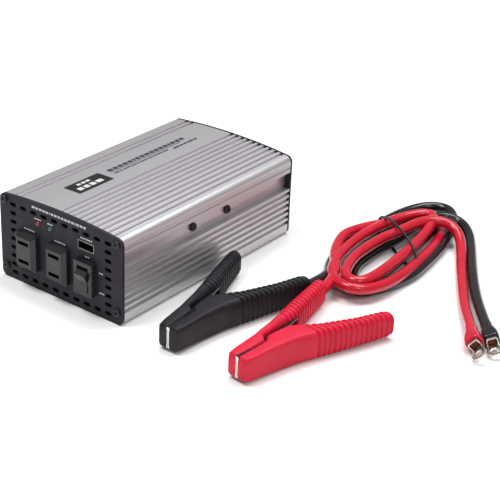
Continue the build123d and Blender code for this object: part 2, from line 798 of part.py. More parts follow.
def make_fan_screws():
    """Four screws that hold the fan against the rear panel."""
    return [pan_screw((x, rear_face, z), (0, -1, 0), side_thread_radius - thread_clearance,
                      fan_screw_length, screw_head_radius, screw_head_height)
            for x, z in fan_corner_places()]


# ---- battery terminals -----------------------------------------------------------------------
def post_rod(radius, x, start, end):
    """A round bar on a battery post's line."""
    return rod(radius, (x, start, post_z), (x, end, post_z))


def make_insulator(x):
    """Round insulating bush through the rear panel."""
    outside = rear_face + insulator_height
    inside = rear_inside - insulator_neck
    bush = post_rod(insulator_radius, x, rear_face, outside)
    bush += post_rod(insulator_neck_radius, x, inside, rear_face + 0.1)
    return bush - post_rod(stud_radius, x, inside - 1, outside + 1)


def make_studs():
    """Two threaded studs that carry the battery current through the panel."""
    studs = [post_rod(stud_radius, x, rear_face - stud_in, rear_face + stud_out) for x in post_x]
    return [chamfer(stud.faces().sort_by(Axis.Y)[-1].edges(), 0.5) for stud in studs]


def make_stud_nuts():
    """Hexagon nuts that clamp the studs inside the case."""
    hexagon = RegularPolygon(nut_across_flats / 2, 6, major_radius=False) - Circle(stud_radius)
    high = rear_inside - insulator_neck
    return [along_y(Pos(x, post_z) * hexagon, high - nut_height, high) for x in post_x]


def make_washer(x):
    """Flat washer that rides out along the stud with its knob."""
    ring = Pos(x, post_z) * (Circle(washer_radius) - Circle(stud_radius + pin_clearance))
    return along_y(ring, washer_y, washer_y + washer_thickness)


def make_knob(x):
    """Fluted thumb nut."""
    grip = Circle(knob_radius)
    for k in range(knob_flutes):
        grip -= Rot(0, 0, 360 / knob_flutes * k) * Pos(knob_radius + 0.35, 0) * Circle(knob_flute_radius)
    knob = along_y(Pos(x, post_z) * grip, knob_y, knob_y + knob_length)
    knob -= post_rod(stud_radius + pin_clearance, x, knob_y - 1, knob_y + knob_length + 1)
    return chamfer(knob.faces().sort_by(Axis.Y)[-1].edges(), 0.3)


def bent_tube(points, radius, name=None):
    """A tube along straight runs that are joined by tangent arcs as large as the runs allow."""
    vectors = [Vector(*point) for point in points]
    radii = []
    for before, corner, after in zip(vectors, vectors[1:], vectors[2:]):
        turn = radians((corner - before).get_angle(after - corner))
        run = min((corner - before).length, (after - corner).length)
        radii.append(0.45 * run / tan(turn / 2))
    path = FilletPolyline(*vectors, radius=radii) if radii else Line(vectors[0], vectors[1])
    start = Plane(origin=vectors[0], z_dir=vectors[1] - vectors[0])
    tube = sweep(start * Circle(radius), path=path)
    if name:
        share = tube.volume / (pi * radius**2 * path.length)
        print(name, "length", round(path.length, 1), "volume share", round(share, 4),
              "radii", [round(value, 1) for value in radii])
    return tube


def make_input_wires():
    """Heavy wires from the studs down to the board."""
    wires = []
    start = rear_face - stud_in - wire_gap
    for x in post_x:
        low_x = x - 2 if x == post_x[-1] else x
        points = [(x, start, post_z), (x, start - 5, post_z), (low_x, start - 8, post_z - 4),
                  (low_x, start - 8, board_top + wire_gap)]
        wires.append(bent_tube(points, input_wire_radius))
    return wires


def make_outlet_wires():
    """Wires from the socket clips to the front edge of the board."""
    wires = []
    start = contact_back + contact_tail[2] + wire_gap
    for x in outlet_x:
        for side in (-1, 1):
            z = outlet_z + side * blade_half_spacing
            drop = x + side * 3
            points = [(x, start, z), (x, start + 3.5, z), (drop, start + 7, z - 3),
                      (drop, start + 7, board_top + wire_gap)]
            wires.append(bent_tube(points, socket_wire_radius))
    return wires


# ---- battery clamps --------------------------------------------------------------------------
def plan(points):
    """A face in the clamp's own plan, from (u, w) points; u is Y and w is X."""
    return make_face(Polyline(*[(w, u) for u, w in points], close=True))


def slab(face, low, high):
    """Extrude a plan face between two distances from the clamp's mid plane."""
    return extrude(Plane(origin=(0, 0, low)) * face, amount=high - low)


def boot_envelope():
    """The boot's height along the clamp: low at the tip, highest near the pivot."""
    side = [(-1.0, tip_half_height), (12.0, tip_half_height + 0.6), (34.0, boot_half_height),
            (56.0, boot_half_height), (80.0, grip_half_height), (clamp_length + 1, grip_half_height - 0.6)]
    outline = side + [(u, -height) for u, height in reversed(side)]
    side_plane = Plane(origin=(-60, 0, 0), x_dir=(0, 1, 0), z_dir=(1, 0, 0))
    return extrude(side_plane * make_face(Polyline(*outline, close=True)), amount=120)


def boot(front):
    """The plastic cover of one arm, open inside where the steel arm runs."""
    inner = front_inner if front else back_inner
    solid = slab(plan(inner + arm_outer), -boot_half_height - 1, boot_half_height + 1) & boot_envelope()
    cheek = (fixed_cheek[1] if front else moving_cheek[1]) + cheek_clearance
    hollow_outer = [(u, w - boot_wall) for u, w in arm_outer if u < grip_start]
    hollow = [(-1.0, -8.0), (grip_start, -8.0), (grip_start, 18.0)] + hollow_outer + [(-1.0, 4.6)]
    solid -= slab(plan(hollow), -cheek, cheek)
    length, depth = jaw_plate[0] + 0.3, jaw_plate[1] + jaw_plate_gap + 0.2
    plate_room = [(-1.0, 0.0), (length, 0.0), (length, depth), (-1.0, depth)]
    return solid - slab(plan(plate_room), -boot_half_height, boot_half_height)


def steel_arm(front):
    """A steel jaw: two cheeks joined by the toothed contact plate, with the pivot hole."""
    low, high = fixed_cheek if front else moving_cheek
    inset = boot_wall + boot_gap
    edge = [(u, w - inset) for u, w in arm_outer if 0 < u < grip_start]
    end = grip_start - 1
    cheek = plan([(1.0, 1.0), (30.0, 1.0), (end, 8.4), (end, 15.0), *edge, (1.0, 4.0)])
    cheek += Pos(0, pivot_u) * Circle(pivot_boss_radius)
    arm = slab(cheek, low, high) + slab(cheek, -high, -low)
    length, thickness, height = jaw_plate
    plate = block((jaw_plate_gap, jaw_plate_gap + thickness), (0.2, length), (-height / 2, height / 2))
    for k in range(jaw_teeth):
        notch = Rot(0, 0, 45) * Box(0.5, 0.5, height + 2)
        plate -= Pos(jaw_plate_gap, 2.5 + jaw_tooth_pitch * k, 0) * notch
    bore = clamp_pin_radius + (0 if front else pin_clearance)
    return arm + plate - rod(bore, (0, pivot_u, -20), (0, pivot_u, 20))


def clamp_spring():
    """Torsion spring on the pin with a leg against each arm."""
    half = spring_height / 2
    coil = rod(spring_inner + 2 * spring_wire, (0, pivot_u, -half), (0, pivot_u, half))
    coil -= rod(spring_inner, (0, pivot_u, -half - 1), (0, pivot_u, half + 1))
    out, along = spring_leg
    for side in (-1, 1):
        x, z = side * (spring_inner + spring_wire), side * (half - spring_wire)
        coil += rod(spring_wire, (x, pivot_u, z), (x + side * out, pivot_u + along, z))
    return coil


def clamp_pieces(place, cable_on_front):
    """All pieces of a clamp, moved to their place; the arm with the cable is the fixed one."""
    bore_ends = [(w, u, 0) for u, w in (grip_bore_start, grip_bore_end)]
    grip_hole = rod(cable_radius, *bore_ends)
    front_boot, back_boot = boot(True), mirror(boot(False), about=Plane.YZ)
    if cable_on_front:
        front_boot -= grip_hole
    else:
        back_boot -= mirror(grip_hole, about=Plane.YZ)
    front_arm, back_arm = steel_arm(True), mirror(steel_arm(False), about=Plane.YZ)
    pin = rod(clamp_pin_radius, (0, pivot_u, -fixed_cheek[1]), (0, pivot_u, fixed_cheek[1]))
    return {
        "front_boot": place * front_boot,
        "back_boot": place * back_boot,
        "front_jaw": place * front_arm,
        "back_jaw": place * back_arm,
        "pin": place * pin,
        "spring": place * clamp_spring(),
    }


# ---- leads -----------------------------------------------------------------------------------
def coil(centre, outer, window, span):
    """The outer shape of an elongated hank of cable, open in the middle."""
    ring = SlotOverall(*outer) - SlotOverall(*window)
    solid = extrude(Pos(0, 0, span[0]) * Rot(0, 0, 90 + coil_tilt) * ring, amount=span[1] - span[0])
    return Pos(*centre, 0) * solid


def lug_place(end, turn):
    """Where a lug sits: its X runs on from the cable's end, and the tongue is on its -Z side."""
    heading, roll = turn
    return Pos(*end) * Rot(0, 0, heading) * Rot(roll, 0, 0)


def make_lug(end, turn):
    """Crimp barrel, open at the mouth, with a ring tongue that carries on from its underside."""
    width, height = lug_barrel
    barrel = block((lug_barrel_start, lug_length), (-width / 2, width / 2), (-height / 2, height / 2))
    barrel = fillet(barrel.edges().filter_by(Axis.X), 1.2)
    barrel -= block((lug_barrel_start + 1, lug_length + 1), (-width / 2 + lug_wall, width / 2 - lug_wall),
                    (-height / 2 + lug_wall, height / 2 - lug_wall))
    low = -height / 2
    ring_x = lug_length + lug_ring_place
    tongue = block((lug_length - 2, ring_x), (-width / 2 + 1.2, width / 2 - 1.2), (low, low + lug_plate))
    tongue += rod(lug_ring_radius, (ring_x, 0, low), (ring_x, 0, low + lug_plate))
    tongue -= rod(lug_bore_radius, (ring_x, 0, low - 1), (ring_x, 0, low + lug_plate + 1))
    return lug_place(end, turn) * (barrel + tongue)


def make_lug_sleeve(end, turn):
    """Coloured sleeve that flares from the cable over the barrel."""
    upright = (Align.CENTER, Align.CENTER, Align.MIN)
    cone = Cone(*sleeve_radii, lug_barrel_start, align=upright)
    band = Cylinder(sleeve_radii[1], sleeve_end - lug_barrel_start, align=upright)
    sleeve = Rot(0, 90, 0) * (cone + Pos(0, 0, lug_barrel_start) * band)
    width, height = lug_barrel
    barrel_room = block((lug_barrel_start, lug_length), (-width / 2, width / 2), (-height / 2, height / 2))
    return lug_place(end, turn) * (sleeve - barrel_room)


# ---- nodes -----------------------------------------------------------------------------------
os.makedirs("parts", exist_ok=True)

save("case_top", make_case_top())
save("case_base", make_case_base())
save("front_panel", make_front_panel())
save("rear_panel", make_rear_panel())
save("panel_screws", *make_panel_screws(), *make_fan_screws())
save("side_screws", *make_side_screws())
save("rating_label", make_rating_label())

save("outlet_left", make_outlet(outlet_x[0]))
save("outlet_right", make_outlet(outlet_x[1]))
save("outlet_contacts", *make_outlet_contacts())
save("usb_shell", make_usb_shell())
save("usb_tongue", make_usb_tongue())
save("led_red", make_led(led_x[0]))
save("led_green", make_led(led_x[1]))
save("switch_frame", make_switch_frame())
save("switch_rocker", make_rocker())
save("switch_terminals", *make_switch_terminals())

save("circuit_board", make_circuit_board())
save("heat_sink_bars", make_heat_sink_bars())
save("power_transistors", *make_power_transistors())
save("transformer_cores", *make_transformer_cores())
save("transformer_windings", *make_transformer_windings())
save("capacitors", *make_capacitors())
save("filter_toroid", make_filter_toroid())
save("fuse_holder", make_fuse_holder())
save("blade_fuses", *make_blade_fuses())
save("fan_frame", make_fan_frame())
save("fan_rotor", make_fan_rotor())
save("input_wires", *make_input_wires())
save("outlet_wires", *make_outlet_wires())

for node, x in zip(("positive", "negative"), post_x):
    save(f"{node}_insulator", make_insulator(x))
    save(f"{node}_washer", make_washer(x))
    save(f"{node}_knob", make_knob(x))
save("terminal_studs", *make_studs())
save("stud_nuts", *make_stud_nuts())

clamps = {"black": clamp_pieces(black_place, True), "red": clamp_pieces(red_place, False)}
save("clamp_pins", *[pieces.pop("pin") for pieces in clamps.values()])
for colour, pieces in clamps.items():
    for name, solid in pieces.items():
        save(f"{colour}_clamp_{name}", solid)

leads = {
    "black": (black_clamp_route, black_coil, black_free_route, black_lug_turn),
    "red": (red_clamp_route, red_coil, red_free_route, red_lug_turn),
}
for colour, (clamp_route, coil_shape, free_route, turn) in leads.items():
    save(f"{colour}_cable_clamp_end", bent_tube(clamp_route, cable_radius, f"{colour} clamp end"))
    save(f"{colour}_cable_coil", coil(*coil_shape))
    save(f"{colour}_cable_free_end", bent_tube(free_route, cable_radius, f"{colour} free end"))
    save(f"{colour}_lug", make_lug(free_route[-1], turn))
    save(f"{colour}_lug_sleeve", make_lug_sleeve(free_route[-1], turn))
save("lead_tie", bent_tube(tie_route, tie_radius, "tie"))
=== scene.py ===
import json
from math import cos, exp, pi, radians, sin

import bmesh
import bpy
from mathutils import Matrix, Vector


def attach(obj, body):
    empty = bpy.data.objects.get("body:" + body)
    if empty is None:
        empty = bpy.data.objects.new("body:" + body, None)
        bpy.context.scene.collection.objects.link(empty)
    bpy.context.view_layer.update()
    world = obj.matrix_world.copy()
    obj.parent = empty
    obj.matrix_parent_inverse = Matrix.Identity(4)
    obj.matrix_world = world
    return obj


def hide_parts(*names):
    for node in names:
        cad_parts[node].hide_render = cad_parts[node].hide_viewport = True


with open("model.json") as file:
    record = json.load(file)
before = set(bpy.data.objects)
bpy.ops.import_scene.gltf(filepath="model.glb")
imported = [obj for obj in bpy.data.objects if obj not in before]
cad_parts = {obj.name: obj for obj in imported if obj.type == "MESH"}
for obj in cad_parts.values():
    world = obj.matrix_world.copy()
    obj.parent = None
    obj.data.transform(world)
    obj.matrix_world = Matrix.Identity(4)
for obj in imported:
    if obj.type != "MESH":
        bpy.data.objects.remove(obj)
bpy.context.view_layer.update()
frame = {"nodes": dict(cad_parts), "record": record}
MM = 0.001
nodes = frame["nodes"]
slot_of = {row["node"]: row["material_slot"] for row in frame["record"]["subparts"]}

# ---- sizes and places, in millimetres, that scene and model share ------------------------------
case_width, case_height, case_depth = 102.0, 60.0, 168.0
front_face = -case_depth / 2
shoulder_drop = 2.9
dome_radius = ((case_width / 2) ** 2 + shoulder_drop**2) / (2 * shoulder_drop)
cable_radius = 3.5
clamp_mid_z = 9.5
clamp_places = {"black": (89.7, -88.0, 1.7), "red": (139.5, -87.0, -6.0)}
cable_on_front = {"black": True, "red": False}
lug_turns = {"black": (-50.0, 18.0), "red": (-53.0, 45.0)}      # heading, roll
# The pointiness at which the paler edge (part wear, part painted highlight) and the painted shade in a
# groove start and are full.
worn_and_glinting_edge, painted_shade_groove = (0.52, 0.62), (0.495, 0.42)


# ---- materials ---------------------------------------------------------------------------------
class Nodes:
    """A material's node tree, with short calls for the nodes that the finishes share."""

    def __init__(self, name):
        self.material = bpy.data.materials.new(name)
        self.material.use_nodes = True
        self.tree = self.material.node_tree
        self.shader = self.tree.nodes["Principled BSDF"]
        self.place = self.add("ShaderNodeTexCoord").outputs["Object"]

    def add(self, kind, **values):
        node = self.tree.nodes.new(kind)
        for key, value in values.items():
            if hasattr(node, key):
                setattr(node, key, value)
            else:
                node.inputs[key].default_value = value
        return node

    def link(self, source, node, socket):
        self.tree.links.new(source, node.inputs[socket])

    def set(self, **values):
        for key, value in values.items():
            self.shader.inputs[key.replace("_", " ")].default_value = value

    def noise(self, scale, detail=4.0, stretch=(1, 1, 1), roughness=0.55):
        """Noise over the object's coordinates, which are scaled by axis first."""
        mapping = self.add("ShaderNodeMapping", Scale=stretch)
        self.link(self.place, mapping, "Vector")
        node = self.add("ShaderNodeTexNoise", Scale=scale, Detail=detail, Roughness=roughness)
        self.link(mapping.outputs["Vector"], node, "Vector")
        return node.outputs["Fac"]

    def ramp(self, value, low, high, start=0.3, end=0.7):
        """A colour between low and high as value goes from start to end."""
        node = self.add("ShaderNodeValToRGB")
        node.color_ramp.elements[0].position, node.color_ramp.elements[1].position = start, end
        node.color_ramp.elements[0].color, node.color_ramp.elements[1].color = (*low, 1), (*high, 1)
        self.link(value, node, "Fac")
        return node.outputs["Color"]

    def spread(self, value, low, high):
        """A number between low and high as value goes from 0 to 1."""
        node = self.add("ShaderNodeMapRange")
        node.inputs["To Min"].default_value, node.inputs["To Max"].default_value = low, high
        self.link(value, node, "Value")
        return node.outputs["Result"]

    def bump(self, value, strength, distance, before=None):
        node = self.add("ShaderNodeBump", Strength=strength, Distance=distance)
        self.link(value, node, "Height")
        if before is not None:
            self.link(before, node, "Normal")
        self.link(node.outputs["Normal"], self.shader, "Normal")
        return node.outputs["Normal"]

    def pointed(self, reach, amount):
        """A number from 0 to amount as the surface's pointiness goes through the reach."""
        geometry = self.add("ShaderNodeNewGeometry")
        node = self.add("ShaderNodeMapRange")
        node.inputs["From Min"].default_value, node.inputs["From Max"].default_value = reach
        node.inputs["To Max"].default_value = amount
        self.link(geometry.outputs["Pointiness"], node, "Value")
        return node.outputs["Result"]

    def mix(self, factor, first, second):
        node = self.add("ShaderNodeMix", data_type="RGBA")
        self.link(factor, node, 0)
        self.link(first, node, 6)
        node.inputs[7].default_value = (*second, 1)
        return node.outputs[2]


def plastic(name, colour, rough=0.45, grain=0.25, variation=0.12, grain_scale=2600.0, coat=0.0,
            wear_and_glint=0.15):
    """Moulded plastic or vinyl: fine grain, slight unevenness of colour and gloss, paler edges (part wear,
    part painted highlight).
    """
    n = Nodes(name)
    dark = tuple(c * (1 - variation) for c in colour)
    light = tuple(min(1, c * (1 + variation) + 0.004) for c in colour)
    base = n.ramp(n.noise(90.0), dark, light)
    pale = tuple(min(1, c * 1.3 + 0.012) for c in colour)
    # Paler edges: part wear, part painted highlight.
    n.link(n.mix(n.pointed(worn_and_glinting_edge, wear_and_glint), base, pale), n.shader, "Base Color")
    n.link(n.spread(n.noise(260.0), rough - 0.06, rough + 0.08), n.shader, "Roughness")
    first = n.bump(n.noise(grain_scale, detail=2.0), grain, 0.00006)
    n.bump(n.noise(150.0), 0.12, 0.0003, first)
    n.set(Coat_Weight=coat, Coat_Roughness=0.12, Specular_IOR_Level=0.25)
    return n.material


def metal(name, colour, rough=0.3, streak=(1, 1, 1), streak_scale=400.0, depth=0.1, metallic=1.0,
          wear_and_glint=0.2, groove_shade=0.25):
    """Metal with fine marks, drawn out along one axis where it is brushed, with paler edges (part wear, part
    painted highlight) and painted shade in its grooves.
    """
    n = Nodes(name)
    marks = n.noise(streak_scale, detail=6.0, stretch=streak, roughness=0.7)
    dark, light = tuple(c * 0.9 for c in colour), tuple(min(1, c * 1.08) for c in colour)
    base = n.ramp(marks, dark, light, 0.25, 0.75)
    # Paler edges: part wear, part painted highlight.
    with_wear_and_glint = n.mix(n.pointed(worn_and_glinting_edge, wear_and_glint), base, tuple(min(1, c * 1.2) for c in colour))
    # Painted shade: grooves and hollows are darkened towards 0.12 times the colour.
    with_groove_shade = n.mix(n.pointed(painted_shade_groove, groove_shade), with_wear_and_glint, tuple(c * 0.12 for c in colour))
    n.link(with_groove_shade, n.shader, "Base Color")
    n.link(n.spread(marks, rough - 0.07, rough + 0.1), n.shader, "Roughness")
    n.bump(marks, depth, 0.00008)
    n.set(Metallic=metallic)
    return n.material


def lens(name, colour):
    """Tinted clear lens of an indicator lamp."""
    n = Nodes(name)
    base = n.ramp(n.noise(500.0), tuple(c * 0.8 for c in colour), colour)
    n.link(base, n.shader, "Base Color")
    n.link(n.spread(n.noise(900.0), 0.08, 0.18), n.shader, "Roughness")
    n.bump(n.noise(1200.0), 0.05, 0.00005)
    n.set(Coat_Weight=0.6, Emission_Strength=0.15, Emission_Color=(*colour, 1))
    return n.material


materials = {
    # The aluminium's grooves get strong painted shade.
    "anodised_aluminium": metal("anodised_aluminium", (0.56, 0.545, 0.565), 0.42, (1, 0.35, 1), 2600.0, 0.35,
                                metallic=0.88, groove_shade=0.75),
    "panel_black": plastic("panel_black", (0.017, 0.0135, 0.02), 0.6, 0.6, 0.25, 1500.0),
    "black_steel": metal("black_steel", (0.035, 0.033, 0.037), 0.28, metallic=0.7),
    "label_black": plastic("label_black", (0.006, 0.0055, 0.0075), 0.4, 0.1),
    # The sockets and the switch get the most painted highlight on their edges.
    "socket_plastic": plastic("socket_plastic", (0.013, 0.0115, 0.015), 0.3, 0.15, coat=0.35, wear_and_glint=0.35),
    "brass_contact": metal("brass_contact", (0.72, 0.52, 0.25), 0.25),
    "bright_metal": metal("bright_metal", (0.74, 0.71, 0.67), 0.26, (1, 1, 0.1), 700.0),
    "red_lens": lens("red_lens", (0.2, 0.008, 0.02)),
    "green_lens": lens("green_lens", (0.012, 0.085, 0.075)),
    "switch_black": plastic("switch_black", (0.012, 0.011, 0.014), 0.26, 0.12, coat=0.35, wear_and_glint=0.3),
    "board_green": plastic("board_green", (0.012, 0.11, 0.05), 0.35),
    "bare_aluminium": metal("bare_aluminium", (0.7, 0.7, 0.7), 0.35, (1, 0.05, 1)),
    "package_black": plastic("package_black", (0.02, 0.02, 0.02), 0.6),
    "ferrite": plastic("ferrite", (0.06, 0.06, 0.065), 0.7, 0.6),
    "winding": metal("winding", (0.6, 0.27, 0.12), 0.3, (1, 1, 0.2), metallic=0.8),
    "capacitor_sleeve": plastic("capacitor_sleeve", (0.02, 0.03, 0.1), 0.3, coat=0.4),
    "fuse_plastic": plastic("fuse_plastic", (0.75, 0.45, 0.03), 0.25, coat=0.4),
    "fan_black": plastic("fan_black", (0.02, 0.02, 0.022), 0.5, 0.3),
    "wire_black": plastic("wire_black", (0.02, 0.02, 0.02), 0.4),
    "red_plastic": plastic("red_plastic", (0.5, 0.015, 0.03), 0.3, 0.2, coat=0.3),
    "black_plastic": plastic("black_plastic", (0.02, 0.019, 0.022), 0.32, 0.2, coat=0.3),
    "tie_black": plastic("tie_black", (0.014, 0.013, 0.016), 0.4, 0.3),
    "black_boot": plastic("black_boot", (0.009, 0.0075, 0.011), 0.5, 0.35, 0.2, 1900.0, wear_and_glint=0.2),
    "red_boot": plastic("red_boot", (0.58, 0.008, 0.036), 0.46, 0.35, 0.08, 1900.0, wear_and_glint=0.25),
    "black_cable": plastic("black_cable", (0.005, 0.004, 0.007), 0.24, 0.05, 0.2, 900.0, coat=0.5),
    "red_cable": plastic("red_cable", (0.5, 0.003, 0.022), 0.24, 0.05, 0.08, 900.0, coat=0.5),
    "strands": metal("strands", (0.45, 0.2, 0.12), 0.35, metallic=0.9),
    "crimp": metal("crimp", (0.78, 0.74, 0.68), 0.25, (1, 1, 1), 500.0),
    "print": plastic("print", (0.5, 0.49, 0.5), 0.5, 0.1, 0.05),
    "dark_print": plastic("dark_print", (0.035, 0.033, 0.04), 0.5, 0.1, 0.05),
    # The USB shell's metal is darker than bright_metal: painted shade.
    "shaded_port_shell": metal("shaded_port_shell", (0.28, 0.28, 0.29), 0.3),
}
for node, thing in nodes.items():
    thing.data.materials.clear()
    thing.data.materials.append(materials["shaded_port_shell" if node == "usb_shell" else slot_of[node]])


# ---- mesh helpers ------------------------------------------------------------------------------
def face_outward(mesh, weld=False):
    """Turn a mesh's faces outward, with its doubled points merged first if asked."""
    tidy = bmesh.new()
    tidy.from_mesh(mesh)
    if weld:
        bmesh.ops.remove_doubles(tidy, verts=tidy.verts, dist=1e-6)
    bmesh.ops.recalc_face_normals(tidy, faces=tidy.faces)
    tidy.to_mesh(mesh)
    tidy.free()


def piece(name, vertices, faces, material, body="inverter", smooth=True):
    """A new mesh piece from millimetre coordinates, riding on a body."""
    mesh = bpy.data.meshes.new(name)
    mesh.from_pydata([Vector(v) * MM for v in vertices], [], faces)
    mesh.validate()
    face_outward(mesh)
    for face in mesh.polygons:
        face.use_smooth = smooth
    thing = bpy.data.objects.new(name, mesh)
    bpy.context.scene.collection.objects.link(thing)
    mesh.materials.append(materials[material])
    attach(thing, body)
    return thing


def loft(rings, close_start=True, close_end=True):
    """Vertices and faces of a skin over rings that all have the same number of points."""
    count = len(rings[0])
    vertices = [point for ring in rings for point in ring]
    faces = []
    for k in range(len(rings) - 1):
        for i in range(count):
            j = (i + 1) % count
            faces.append((k * count + i, k * count + j, (k + 1) * count + j, (k + 1) * count + i))
    if close_start:
        faces.append(tuple(range(count)))
    if close_end:
        faces.append(tuple(reversed(range((len(rings) - 1) * count, len(rings) * count))))
    return vertices, faces


def rounded_ring(half_a, half_b, corner, per_corner=8):
    """Points of a rounded rectangle, as (a, b)."""
    corner = min(corner, half_a * 0.98, half_b * 0.98)
    ring = []
    for quarter, (sa, sb) in enumerate(((1, 1), (-1, 1), (-1, -1), (1, -1))):
        for k in range(per_corner):
            angle = pi / 2 * (quarter + k / (per_corner - 1))
            ring.append((sa * (half_a - corner) + corner * cos(angle),
                         sb * (half_b - corner) + corner * sin(angle)))
    return ring


def apply_modifiers(thing):
    """Turn a piece's modifiers into its mesh."""
    bpy.context.view_layer.update()
    graph = bpy.context.evaluated_depsgraph_get()
    mesh = bpy.data.meshes.new_from_object(thing.evaluated_get(graph))
    thing.modifiers.clear()
    thing.data = mesh


def bevelled(thing, width, segments=2, angle=40):
    """Round a piece's sharp edges."""
    modifier = thing.modifiers.new("bevel", "BEVEL")
    modifier.width = width * MM
    modifier.segments = segments
    modifier.limit_method = "ANGLE"
    modifier.angle_limit = radians(angle)
    apply_modifiers(thing)


def shade(thing, angle=42):
    """Smooth shading with the creases kept."""
    for face in thing.data.polygons:
        face.use_smooth = True
    thing.data.set_sharp_from_angle(angle=radians(angle))


def interpolate(points, value):
    """Value of a line through sorted (position, value) points."""
    if value <= points[0][0]:
        return points[0][1]
    for (a, va), (b, vb) in zip(points, points[1:]):
        if value <= b:
            return va + (vb - va) * (value - a) / (b - a)
    return points[-1][1]


def eased(points, value, reach=3.0):
    """The same line with its corners rounded over a short reach."""
    steps = (-1.0, -0.6, -0.2, 0.2, 0.6, 1.0)
    return sum(interpolate(points, value + step * reach) for step in steps) / len(steps)


# ---- clamps ------------------------------------------------------------------------------------
# Outlines as (distance from the jaw tip, distance from the clamp's middle), half heights last.
arm_outer = [(0.0, 6.6), (5.0, 8.0), (23.0, 9.6), (40.0, 12.8), (58.0, 18.8), (78.0, 25.0), (104.0, 32.0)]
front_inner = [(0.0, 0.36), (24.6, 0.36), (27.5, -3.4), (45.0, -3.4), (60.0, 6.5), (83.0, 16.0),
               (104.0, 22.4)]
back_inner = [(0.0, 0.36), (24.6, 0.36), (26.0, 5.2), (38.0, 6.4), (45.0, 7.6), (60.0, 8.2), (83.0, 16.0),
              (104.0, 22.4)]
boot_heights = [(0.0, 7.6), (12.0, 8.1), (34.0, 9.5), (56.0, 9.5), (80.0, 8.6), (104.0, 8.0)]
boot_length = 104.0
boot_wall = 2.4
handle_end, jaw_tip = 3.2, 1.2          # over which the boot's two ends round off
cheek_room = {"front": 6.22, "back": 5.12}
jaw_length, jaw_half_height, jaw_depth = 24.4, 7.1, 1.6
jaw_lip, jaw_show = 0.14, 0.36          # the boot's rim before the plates, and how much it leaves open
rib_start, rib_end, rib_pitch, rib_depth, rib_groove = 52.0, 101.0, 3.5, 1.3, 0.72


def clamp_matrix(colour):
    """From a clamp's own axes, across, along and up, to the model's."""
    x, y, turn = clamp_places[colour]
    return Matrix.Translation(Vector((x, y, clamp_mid_z)) * MM) @ Matrix.Rotation(radians(turn), 4, "Z")


def rib_inset(u):
    """How deep the surface lies under the boot's outline at u."""
    if not rib_start - 1 < u < rib_end + 1:
        return 0.0
    from_groove = (u - rib_start + rib_pitch / 2) % rib_pitch - rib_pitch / 2
    return rib_depth * exp(-((from_groove / rib_groove) ** 2))


def boot_rings(inner):
    """Cross-sections of one boot from the jaw tip to the rounded end of the handle."""
    rings = []
    u = 0.0
    while u <= boot_length + 1e-6:
        low, high = eased(inner, u, 1.5), eased(arm_outer, u)
        height = eased(boot_heights, u)
        inset = rib_inset(u)
        end = max(0.0, (u - (boot_length - handle_end)) / handle_end)
        tip = max(0.0, 1 - u / jaw_tip)
        shrink = 1 - (1 - max(0.0, 1 - end**2) ** 0.5) * 0.55 - 0.16 * tip**2
        half_w = ((high - low) / 2 - inset) * shrink
        half_z = (height - inset) * shrink
        middle = (high + low) / 2
        corner = 2.2 if u < 20 else min(4.2, 2.2 + (u - 20) * 0.08)
        rings.append([(middle + a, u, b) for a, b in rounded_ring(half_w, half_z, corner)])
        u += 0.3 if u > rib_start - 3 else 1.0
    return rings


def boot(colour, front):
    """A vinyl boot with ribbed grip, open inside where the steel arm runs."""
    arm = "front" if front else "back"
    name = f"{colour}_clamp_{arm}_boot"
    moving = front != cable_on_front[colour]
    body = f"{colour}_clamp_arm" if moving else "inverter"
    skin = loft(boot_rings(front_inner if front else back_inner))
    cover = piece(f"{name}_skin", *skin, f"{colour}_boot", body)
    hollow = [(1.6, -8.0), (44.5, -8.0), (44.5, 3.2), (62.0, 7.6), (62.0, 17.6)]
    hollow += [(u, w - boot_wall) for u, w in reversed(arm_outer) if 5 < u < 60] + [(1.6, 5.0)]
    plate_room = [(-2.0, -1.0), (jaw_length, -1.0), (jaw_length, jaw_depth), (jaw_lip, jaw_depth),
                  (jaw_lip, jaw_show), (-2.0, jaw_show)]
    for outline, half in ((hollow, cheek_room[arm]), (plate_room, jaw_half_height)):
        rings = [[(w, u, z) for u, w in outline] for z in (-half, half)]
        cutter = piece("cutter", *loft(rings), f"{colour}_boot", body, smooth=False)
        modifier = cover.modifiers.new("hollow", "BOOLEAN")
        modifier.object = cutter
        modifier.operation = "DIFFERENCE"
        apply_modifiers(cover)
        bpy.data.objects.remove(cutter)
    mirror = Matrix.Identity(4) if front else Matrix.Scale(-1, 4, (1, 0, 0))
    cover.data.transform(clamp_matrix(colour) @ mirror)
    if not front:
        cover.data.flip_normals()
    shade(cover)
    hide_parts(name)


def paint_arm_shade(colour):
    """Painted shade: the steel arms are drawn black behind the bright jaw plates and on their upper and
    lower edges, so they look dark between the boots.
    """
    to_clamp = clamp_matrix(colour).inverted()
    for arm in ("front", "back"):
        mesh = nodes[f"{colour}_clamp_{arm}_jaw"].data
        mesh.materials.append(materials["black_steel"])
        for face in mesh.polygons:
            if (to_clamp @ face.center).y > jaw_length * MM or abs(face.normal.z) > 0.7:
                face.material_index = 1


for colour in clamp_places:
    paint_arm_shade(colour)
    for front in (True, False):
        boot(colour, front)


# ---- cables ------------------------------------------------------------------------------------
points_per_quarter = 5
hank_middle_x, hank_middle_y, hank_lean = 127.5, 90.0, 0.1
